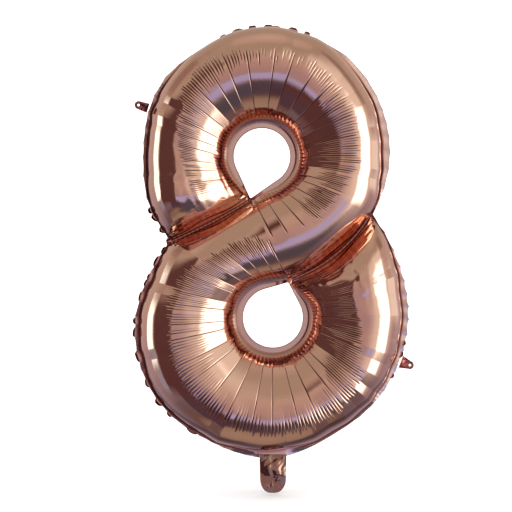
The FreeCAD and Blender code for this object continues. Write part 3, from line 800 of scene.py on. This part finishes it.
    def paint_rim_shade(self):
        """Painted shade: a dark line painted where the bulge meets the rim."""
        name, turns = self.lobe.name, self.turns
        foot = self.to_rim - self.lobe.foot_widths(turns)[1][:, None] / MM
        foot = foot - through(RIM_PAINTED_SHADE_IN[name], turns)[:, None]
        off_line = np.maximum(foot, 0) + np.maximum(-foot - 2, 0)
        dark = np.where(turns > self.lobe.corner, 0, through(RIM_PAINTED_SHADE[name], turns))[:, None]
        self.paint_shade((1 - step_up(off_line, 1.5, 5.5)) * dark)


def pleated_skin(lobe, seed):
    """The relief of one lobe's front skin: a (columns, rows, 3) grid, and how copper and how dark it is."""
    skin = Skin(lobe, seed)
    skin.wander()
    skin.crease_facets()
    skin.rim_facets()
    skin.fine_pleats()
    skin.eye_pleats()
    skin.waist_rolls()
    skin.crumpled_end()
    skin.paint_rim_shade()
    return skin.points, skin.painted_tint_and_shade, skin.painted_shades


class BALLOON_OT_foil_skins(Operator):
    """Make the inflated foil of both panels, each as an upper and a lower half"""
    bl_idname = "balloon.foil_skins"
    bl_label = "Foil skins"

    def execute(self, context):
        for side, first_seed in (("front", FRONT_SEED), ("back", BACK_SEED)):
            for k, lobe in enumerate(lobes()):
                points, painted_tint_and_shade, painted_shades = pleated_skin(lobe, first_seed + LOBE_SEED_STEP * k)
                if side == "back":
                    points[..., 1] *= -1
                faces = grid_faces(*points.shape[:2], flip=side == "back")
                piece = add_piece(f"{side}_foil_{lobe.name}", points, faces, material_for("panel_foil"),
                                  painted_tint_and_shade, painted_shades)
                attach(piece, "balloon")
                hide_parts(f"{side}_panel")
        return {"FINISHED"}


# ---- the seams ---------------------------------------------------------------------------------------

RIM_STEP = 1.6 * MM      # between the rim's columns of points
UNDER_BULGE = 3 * MM     # how far the rim's strip runs in under the bulge
VALVE_BULGE = 1.4 * MM   # how much thicker the rim is where it takes in the valve


def rim_curls(lobe, turns, along, seed):
    """How far the curled lobes of the rim stand out, at each place along it."""
    rng = np.random.default_rng(seed)
    curl = np.zeros(len(along))
    for first, last, count, half, high in RIM_CURLS[lobe.name]:
        shares = (np.arange(count) + 0.5 + rng.uniform(-0.35, 0.35, count)) / count
        for middle in first + (last - first) * shares:
            off = (along - np.interp(middle, turns, along)) / (half * MM * rng.uniform(0.6, 1.3))
            curl = np.maximum(curl, high * MM * rng.uniform(0.5, 1.1) * np.clip(1 - off ** 2, 0, 1) ** 0.5)
    return curl


def rim_film(lobe, seed):
    """The rim's welded strip, from under the bulges to its waving, curling free edge.

    Gives its middle, how much painted reflection tint and painted shade each point takes, and its thickness, which
    takes in the valve at the tail.
    """
    s = bpy.context.scene.balloon_seams
    rough_turns = np.linspace(0, lobe.corner, 900)
    edge_line = lobe.rim_point(lobe.rim_bearing(rough_turns))
    run = np.concatenate([[0], np.cumsum(np.abs(np.diff(edge_line)))])
    length = run[-1]
    along = np.linspace(0, length, int(length / RIM_STEP))
    turns = np.interp(along, run, rough_turns)
    bearings = lobe.rim_bearing(turns)

    ends = step_up(along, 0, 0.03) * step_up(length - along, 0, 0.03)
    wave = through(RIM_WAVE[lobe.name], turns)
    phase = along / s.wave_length + 0.7 * swell(along, 0, 0.19, seed)
    strength = (0.6 + 0.4 * swell(along, 0, 0.23, seed + 5)) * ends
    tilt = wave * MM * strength * np.sin(2 * math.pi * phase)
    drawn_in = s.scallop * np.abs(np.sin(math.pi * phase)) ** 0.6 * ends * np.clip(wave / 1.5, 0, 1)
    small = 0.12 * MM * np.sin(2 * math.pi * along / (9 * MM) + 2 * swell(along, 0, 0.06, seed)) * ends
    lean = through(RIM_LEAN[lobe.name], turns) * MM * ends
    behind = np.clip((-lean - 4 * MM) / (5 * MM), 0, 1)
    curl = rim_curls(lobe, turns, along, seed)

    at_rim = lobe.foot_widths(turns)[1]
    start = -(at_rim + UNDER_BULGE)
    stop = WELD_OUT - drawn_in - behind * 9 * MM
    stop = np.minimum(stop + curl * (1 + 1.4 * behind), WELD_OUT + 7 * MM * (1 - behind))
    across = np.append(np.linspace(0, 0.96, 9), 1)
    out = start[:, None] + (stop - start)[:, None] * across
    plan = lobe.rim_point(bearings[:, None]) + out * np.exp(1j * np.radians(bearings))[:, None]
    bend = step_up(out, -at_rim[:, None], WELD_OUT)
    y = (tilt + small - lean)[:, None] * bend - (curl * 0.9)[:, None] * across ** 6

    # Painted shade: curled lobes, and a dark line on the strip beside the bulge's foot, are painted darker.
    curl_painted_shade = (curl > 0.5 * MM)[:, None] * step_up(across, 0.6, 0.8)
    dark = (1.1 * through(RIM_PAINTED_SHADE[lobe.name], turns))[:, None]
    painted_tint_and_shade = np.maximum((1 - step_up(out + at_rim[:, None], 2 * MM, 5.5 * MM)) * dark, curl_painted_shade * 0.85)

    # Flat where the tail leaves, and thick enough there for the valve.
    low, off_tail = plan.imag < 2 * TAIL_HALF_W, np.abs(plan.real)
    flat = low * (1 - step_up(off_tail, TAIL_HALF_W / 2, 2 * TAIL_HALF_W))
    round_valve = low * (1 - step_up(off_tail, TAIL_HALF_W - 4 * MM, TAIL_HALF_W + 8 * MM))
    return at_plan(plan, y * (1 - flat)), painted_tint_and_shade, s.thickness + round_valve * VALVE_BULGE


class BALLOON_OT_rim_seams(Operator):
    """Make the welded strip that runs round the outline of each lobe"""
    bl_idname = "balloon.rim_seams"
    bl_label = "Rim seams"

    def execute(self, context):
        for k, lobe in enumerate(lobes()):
            points, painted_tint_and_shade, thickness = rim_film(lobe, 3 + k)
            piece = add_film(f"rim_seam_{lobe.name}", points, thickness[..., None], material_for("seam_foil"),
                             painted_tint_and_shade)
            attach(piece, "balloon")
            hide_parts(f"{lobe.name}_outline_weld")
        return {"FINISHED"}


def eye_film(lobe, seed):
    """The smooth welded ring round an eye, with a slight roll of its free edge."""
    bearings = lobe.cusp_bearing + np.linspace(0, 360, 240, endpoint=False)
    across = np.linspace(0, 1, 7)
    start, stop = -WELD_OUT, EYE_WELD_IN + 2 * MM
    out = start + (stop - start) * across
    plan = lobe.eye_point(bearings[:, None], out[None, :])
    off = np.abs((bearings - lobe.cusp_bearing + 180) % 360 - 180)[:, None]
    by_cusp = fade(off / 26)
    wave = swell(bearings * MM, 0, 0.09, seed)[:, None] * 0.6 * MM * (1 - across) ** 2
    wave = wave - by_cusp * (2.4 * MM + 1.8 * MM * np.sin(off * 0.55)) * (1 - across)
    # Painted light: a reflection tint along the edge at the hole, and painted shade as well as the tint near the
    # cusp.
    painted_tint_and_shade = np.maximum(0.35 * (1 - step_up(across, 0, 0.3)), by_cusp * (0.75 - 0.2 * across))
    return at_plan(plan, wave), painted_tint_and_shade


class BALLOON_OT_eye_seams(Operator):
    """Make the welded ring round each eye"""
    bl_idname = "balloon.eye_seams"
    bl_label = "Eye seams"

    def execute(self, context):
        for k, lobe in enumerate(lobes()):
            points, painted_tint_and_shade = eye_film(lobe, 21 + k)
            thickness = context.scene.balloon_seams.thickness
            piece = add_film(f"eye_seam_{lobe.name}", points.transpose(1, 0, 2), thickness,
                             material_for("seam_foil"), painted_tint_and_shade.T, closed=True)
            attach(piece, "balloon")
            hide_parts(f"{lobe.name}_eye_weld")
        return {"FINISHED"}


class BALLOON_OT_waist_seams(Operator):
    """Make the welded strip between the limbs at each side of the waist"""
    bl_idname = "balloon.waist_seams"
    bl_label = "Waist seams"

    def execute(self, context):
        along = np.linspace(-0.02, 1.02, 90)
        across = np.linspace(-1, 1, 7)
        for name, (notch, cusp, sag) in (("left", LEFT_WAIST), ("right", RIGHT_WAIST)):
            line = waist_point(notch, cusp, sag, along)
            side = 1j * (cusp - notch) / abs(cusp - notch)
            plan = line[:, None] + side * across * (WAIST_WELD_IN + 2.5 * MM)
            y = 0.4 * MM * np.sin(along * 120)[:, None] * (1 - across ** 2)
            # Painted reflection tint and painted shade over the whole waist seam strip.
            piece = add_film(f"waist_seam_{name}", at_plan(plan, y), context.scene.balloon_seams.thickness,
                             material_for("seam_foil"), np.full(plan.shape, 0.75))
            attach(piece, "balloon")
            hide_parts(f"{name}_waist_weld")
        return {"FINISHED"}


# ---- the filling tail and its valve ------------------------------------------------------------------

OFF_VALVE = 0.8 * MM     # the least distance of a ply from the valve's plane
TAIL_FILM = 0.3 * MM     # thickness of a ply
NECK_START = 9 * MM      # how far above the root fold the neck's plies start, under the rim


def fold_height(joint):
    return named(frame["joints"], joint)["pos_m"][2]


def tail_ply(top, bottom, half_width, side, seed, pinch, pinch_more, end_flat, end_round):
    """One ply of the tail: flat at its side welds, puckered between them, and pinched in, more so downwards.

    end_flat is how much flatter the crumples are at the low end, so that the mouth can fold up under the
    foil, and end_round is the height of the rounded corners there.
    """
    rows = np.linspace(0, 1, 41)
    across = np.linspace(-1, 1, 45)
    z = top + (bottom - top) * rows
    half = half_width * (1 - (pinch + pinch_more * rows))
    if end_round:
        low = np.clip((bottom + end_round - z) / end_round, 0, 1)
        half = half - (half_width * 0.72) * (1 - np.sqrt(1 - low ** 2))
    x = half[:, None] * across
    z = np.broadcast_to(z[:, None], x.shape)
    middle = 1 - across ** 2
    puff = (0.6 + 0.4 * np.sin(rows * 5 + seed))[:, None] * 3 * MM * middle
    cell = (15 - 6 * end_flat) * MM
    high = (5.2 - 2.4 * end_flat) * MM
    rough = crumple(x, z, cell, seed) * high + crumple(x, z, cell / 2, seed + 3) * high / 3
    sway = 1.6 * MM * np.sin(x / half_width * 2.1 + z * 90)
    relief = 1 - 0.8 * end_flat * rows[:, None] ** 1.5
    off = side * sway + puff * (1 - 0.5 * end_flat) + np.abs(rough) * middle ** 0.5
    y = side * np.maximum(OFF_VALVE, 0.25 * MM + off * relief)
    # Painted shade: patches painted darker than the tail's colour, across the crumples.
    painted_tint_and_shade = 0.15 + 0.75 * np.clip(np.abs(crumple(x, z, 15 * MM, seed + 8)) - 0.15, 0, 1)
    return np.stack([x, y, z], axis=-1), painted_tint_and_shade


class BALLOON_OT_tail(Operator):
    """Make the crumpled plies of the filling tail, in two lengths split at its folds"""
    bl_idname = "balloon.tail"
    bl_label = "Filling tail"

    def execute(self, context):
        root, middle = fold_height("root_fold"), fold_height("middle_fold")
        low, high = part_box("mouth_front_ply")
        half = (high.x - low.x) / 2
        lengths = (
            ("neck", root + NECK_START, middle, "balloon", "tail_neck", root, (0.0, 0.03, 0.0, 0.0)),
            ("mouth", middle, low.z, "tail_neck", "tail_mouth", middle, (0.03, 0.05, 1.0, 26 * MM)),
        )
        for name, top, bottom, above, below, fold, shape in lengths:
            for k, (which, side) in enumerate((("front", -1), ("back", 1))):
                points, painted_tint_and_shade = tail_ply(top, bottom, half, side, 31 + 5 * k + len(name), *shape)
                piece = add_film(f"{name}_{which}_foil", points, TAIL_FILM, material_for("tail_foil"), painted_tint_and_shade)
                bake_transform(piece)
                replaced = [f"{name}_{which}_ply"] + ([f"{name}_side_welds"] if k == 0 else [])
                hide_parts(*replaced)
        return {"FINISHED"}


class BALLOON_OT_valve(Operator):
    """Give the plies of the self-sealing valve their clear film"""
    bl_idname = "balloon.valve"
    bl_label = "Valve"

    def execute(self, context):
        for name, node in frame["nodes"].items():
            if name.startswith("valve_"):
                node.data.materials.clear()
                node.data.materials.append(material_for("valve_film"))
        return {"FINISHED"}


# ---- the hanging tabs --------------------------------------------------------------------------------

TAB_FILM = 0.4 * MM
TAB_HOLE_R = 2.5 * MM
TAB_END_R = 8 * MM
TAB_SQUARE = 0.35    # the sideways share of a direction past which the tab's edge stays at full width
TAB_CELL = 9 * MM    # size of its crumples


def tab_film(joint, hole, root_half, seed):
    """A tab from its fold to its round end, with the hole, as rings of points round the hole's centre."""
    fold = complex(joint["pos_m"][0], joint["pos_m"][2])
    reach = abs(hole - fold)
    out = (hole - fold) / reach
    ring = np.exp(1j * np.linspace(0, 2 * math.pi, 64, endpoint=False))
    back = np.maximum(-ring.real, 0)
    width = TAB_END_R + (root_half - TAB_END_R) * back
    side = ring.imag * width / np.maximum(np.abs(ring.imag), TAB_SQUARE)
    rooted = -reach * np.minimum(back * 1.25, 1.0) + 1j * side
    edge = np.where(back > 0, rooted, ring * TAB_END_R)
    t = np.linspace(0, 1, 10)[:, None]
    local = ring * TAB_HOLE_R * (1 - t) + edge * t
    x, z = local.real, local.imag
    height = crumple(x, z, TAB_CELL, seed) * 3.4 * MM + 1.4 * MM * np.sin(z * 260)
    from_fold = np.clip((x + reach) / (6 * MM), 0, 1)
    # Painted shade: patches painted darker than the tab's colour, across the crumples.
    painted_tint_and_shade = 0.35 + 0.5 * np.abs(crumple(x, z, TAB_CELL, seed + 4))
    return at_plan(hole + local * out, height * from_fold), painted_tint_and_shade


class BALLOON_OT_tabs(Operator):
    """Make the two hanging tabs that fold out of the rim"""
    bl_idname = "balloon.tabs"
    bl_label = "Hanging tabs"

    def execute(self, context):
        for k, (side, root_half) in enumerate((("left", 10 * MM), ("right", 14 * MM))):
            joint = named(frame["joints"], f"{side}_tab_fold")
            mount = named(frame["record"]["mounts"], f"{side}_tab_hole")
            points, painted_tint_and_shade = tab_film(joint, complex(mount["pos_m"][0], mount["pos_m"][2]), root_half, 51 + k)
            piece = add_film(f"{side}_tab_foil", points, TAB_FILM, material_for("tab_foil"), painted_tint_and_shade,
                             closed=True)
            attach(piece, f"{side}_tab")
            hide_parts(f"{side}_hanging_tab")
        return {"FINISHED"}


# ---- the studio --------------------------------------------------------------------------------------

# What the foil mirrors, as patches of the room: azimuth (0 towards the front, + to the right) and half width,
# elevation and half height, the softness of the sides and of the top and bottom, all in degrees, then the
# patch's colour and how much it hides of what is behind it.
PATCHES = (
    (58, 36, 6, 38, 18, 14, (0.98, 0.99, 0.92), 0.75),       # glow round the big softbox
    (8, 27, -25, 7, 8, 4, (0.46, 0.52, 0.98), 0.9),          # lavender wall
    (18, 34, -46, 11, 10, 6, (0.08, 0.085, 0.13), 0.9),      # dusk below it
    (-30, 28, -46, 13, 5, 6, (0.08, 0.05, 0.08), 0.9),       # dark floor on the left
    (-51, 33, -6, 33, 4, 8, (0.10, 0.043, 0.046), 0.97),     # dark doorway
    (-9, 11, -2, 12, 8, 9, (0.38, 0.28, 0.28), 0.4),         # its half-lit side
    (-105, 22, 42, 12, 10, 8, (0.25, 0.14, 0.13), 0.6),      # curtain, upper left
    (100, 12, 40, 14, 8, 8, (0.22, 0.12, 0.11), 0.6),        # curtain, upper right
    (-102, 13, 3, 16, 3, 6, (1.6, 2.2, 2.2), 1.0),           # narrow softbox
    (-94, 12, -27, 10, 4, 5, (0.34, 0.40, 0.55), 0.8),       # its blue skirt
    (65, 20, -2, 23, 5, 8, (2.7, 2.9, 2.8), 1.0),            # big softbox
    (112, 20, 2, 8, 9, 5, (1.0, 1.05, 1.0), 0.9),            # strip light, right
)
# By elevation in degrees: the room's colour behind the patches.
ROOM = (
    (-90, (0.40, 0.34, 0.28)), (-68, (0.34, 0.28, 0.23)), (-58, (0.16, 0.11, 0.11)),
    (-48, (0.18, 0.15, 0.20)), (-32, (0.31, 0.26, 0.32)), (-12, (0.44, 0.36, 0.41)),
    (0, (0.52, 0.42, 0.42)), (14, (0.54, 0.45, 0.41)), (26, (0.53, 0.46, 0.40)),
    (40, (0.43, 0.38, 0.32)), (62, (0.43, 0.38, 0.32)), (74, (0.52, 0.46, 0.40)),
    (90, (0.60, 0.54, 0.46)),
)


def room_light(n):
    """The room as a direction's colour: bands by elevation, then the patches."""
    way = n.add("SeparateXYZ", None, Vector=n.add("TexCoord").outputs["Generated"]).outputs
    azimuth = n.math("MULTIPLY", n.math("ARCTAN2", way[0], n.math("MULTIPLY", way[1], -1.0)), 180 / math.pi)
    elevation = n.math("MULTIPLY", n.math("ARCSINE", way[2]), 180 / math.pi)
    level = n.math("DIVIDE", n.math("ADD", elevation, 90.0), 180.0)
    colour = n.ramp(level, [((e + 90) / 180, c) for e, c in ROOM])
    for az, half_width, el, half_height, soft_sides, soft_ends, shade, share in PATCHES:
        off_az = n.math("ABSOLUTE", n.math("SUBTRACT", azimuth, float(az)))
        off_el = n.math("ABSOLUTE", n.math("SUBTRACT", elevation, float(el)))
        inside = n.math("MULTIPLY", n.between(off_az, half_width + soft_sides, half_width - soft_sides),
                        n.between(off_el, half_height + soft_ends, half_height - soft_ends))
        colour = n.mix(n.math("MULTIPLY", inside, share), colour, opaque(shade))
    return colour


class BALLOON_OT_studio(Operator):
    """Set up the pale floor, the soft room light and the camera"""
    bl_idname = "balloon.studio"
    bl_label = "Studio"

    def execute(self, context):
        s = context.scene.balloon_studio
        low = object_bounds()[0][2] - s.floor_gap
        sides = (-s.floor_half, s.floor_half)
        points = np.array([[(x, y, low) for x in sides] for y in sides])
        paper, n, place = new_material("studio_paper")
        tooth = n.add("TexNoise", None, Vector=place, Scale=300.0).outputs["Fac"]
        shader = n.add("BsdfPrincipled", None, Roughness=0.9,
                       Base_Color=n.mix(tooth, (0.93, 0.93, 0.93, 1), (0.95, 0.95, 0.95, 1)))
        n.add("OutputMaterial", None, Surface=shader.outputs[0])
        floor = add_piece("studio_floor", points, grid_faces(2, 2, flip=True), paper)
        floor.visible_glossy = False
        floor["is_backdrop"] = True

        world = bpy.data.worlds.new("studio_room")
        world.use_nodes = True
        context.scene.world = world
        n = Nodes(world.node_tree)
        paths = n.add("LightPath").outputs
        pale = n.add("Background", None, Color=(1, 1, 1, 1), Strength=1.6)
        mirrored = n.add("Background", None, Color=room_light(n), Strength=1.0)
        choice = n.add("MixShader", None, i0=paths["Is Glossy Ray"], i1=pale.outputs[0],
                       i2=mirrored.outputs[0])
        n.add("OutputWorld", None, Surface=choice.outputs[0])

        camera = bpy.data.objects.new("studio_camera", bpy.data.cameras.new("studio_camera"))
        camera.data.lens = s.lens
        camera.location = (s.centre_x, -s.distance, s.centre_z)
        camera.rotation_euler = (math.pi / 2, 0, 0)
        context.scene.collection.objects.link(camera)
        context.scene.camera = camera
        context.scene.view_settings.view_transform = "Standard"
        return {"FINISHED"}


# ---- the panel and the run ---------------------------------------------------------------------------

OPERATORS = (BALLOON_OT_foil_skins, BALLOON_OT_rim_seams, BALLOON_OT_eye_seams, BALLOON_OT_waist_seams,
             BALLOON_OT_tail, BALLOON_OT_valve, BALLOON_OT_tabs, BALLOON_OT_studio)
SETTINGS = {"balloon_pleats": BalloonPleats, "balloon_seams": BalloonSeams, "balloon_colours": BalloonColours,
            "balloon_studio": BalloonStudio}


class BALLOON_PT_sidebar(Panel):
    """Lists the balloon's pieces and its sizes and colours"""
    bl_idname = "BALLOON_PT_sidebar"
    bl_label = "Foil Number Balloon"
    bl_space_type = "VIEW_3D"
    bl_region_type = "UI"
    bl_category = "Balloon"

    def draw(self, context):
        for operator in OPERATORS:
            self.layout.operator(operator.bl_idname)
        for name in SETTINGS:
            group = getattr(context.scene, name)
            for key in group.bl_rna.properties.keys():
                if key not in {"rna_type", "name"}:
                    self.layout.prop(group, key)


def register():
    for cls in (*SETTINGS.values(), *OPERATORS, BALLOON_PT_sidebar):
        bpy.utils.register_class(cls)
    for name, cls in SETTINGS.items():
        setattr(bpy.types.Scene, name, PointerProperty(type=cls))


def unregister():
    for name in SETTINGS:
        delattr(bpy.types.Scene, name)
    for cls in (BALLOON_PT_sidebar, *OPERATORS[::-1], *list(SETTINGS.values())[::-1]):
        bpy.utils.unregister_class(cls)


def main():
    register()
    for operator in OPERATORS:
        group, action = operator.bl_idname.split(".")
        getattr(getattr(bpy.ops, group), action)()


if __name__ == "__main__":
    main()
